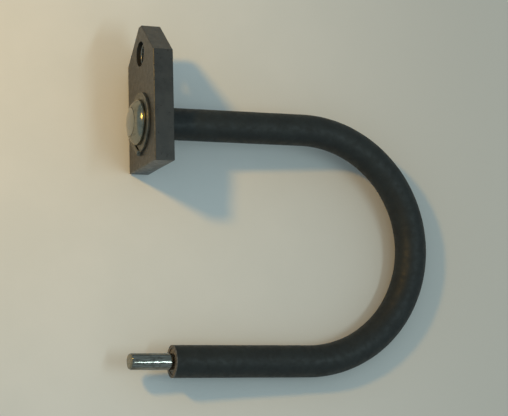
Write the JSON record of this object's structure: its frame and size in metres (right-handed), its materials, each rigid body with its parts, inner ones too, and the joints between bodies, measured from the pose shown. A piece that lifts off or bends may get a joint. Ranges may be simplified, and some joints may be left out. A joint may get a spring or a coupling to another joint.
{
  "type": "flame sensor probe",
  "caption": "Optical flame sensor probe: a U-bent sheathed light guide from a steel tip to a lens head in a flange block.",
  "frame": {"origin": "on the tube's axis at the block's back face", "axes": "+X along both arms from the block towards the bend, +Y along the block's long side towards the fixing hole, +Z square to the plane of the bend"},
  "size_m": [0.0994, 0.1078, 0.0264],
  "materials": {
    "block_plastic": "matt, slightly brown black moulding",
    "sleeve_steel": "turned, lightly dulled",
    "bush_brass": "turned",
    "pin_steel": "ground",
    "seal_rubber": "matt",
    "washer_zinc": "zinc plated, dulled",
    "nut_plated": "bright plated",
    "lens_glass": "polished",
    "optical_cement": "cured adhesive",
    "spacer_aluminium": "black anodised",
    "ferrule_stainless": "drawn, mottled",
    "fibre_face": "polished fibre ends in epoxy",
    "sheath_rubber": "matt black sleeve",
    "conduit_steel": "drawn",
    "liner_ptfe": "white sleeve",
    "fibre_glass": "bundled fibres",
    "potting_compound": "rough cured compound"
  },
  "bodies": {
    "root": {"mounting_block": "block_plastic", "fixing_sleeve": "sleeve_steel", "threaded_bush": "bush_brass", "locating_pin": "pin_steel", "bush_o_ring": "seal_rubber", "tab_washer": "washer_zinc", "bezel_nut": "nut_plated", "lens": "lens_glass", "lens_cement": "optical_cement", "lens_seat_ring": "seal_rubber", "spacer_ring": "spacer_aluminium", "rear_ferrule": "ferrule_stainless", "rear_fibre_end": "fibre_face", "outer_sheath": "sheath_rubber", "conduit_tube": "conduit_steel", "liner_sleeve": "liner_ptfe", "fibre_bundle": "fibre_glass", "tip_ferrule": "ferrule_stainless", "tip_fibre_end": "fibre_face", "tip_seal": "potting_compound", "centring_bush": "bush_brass"}
  },
  "joints": []
}
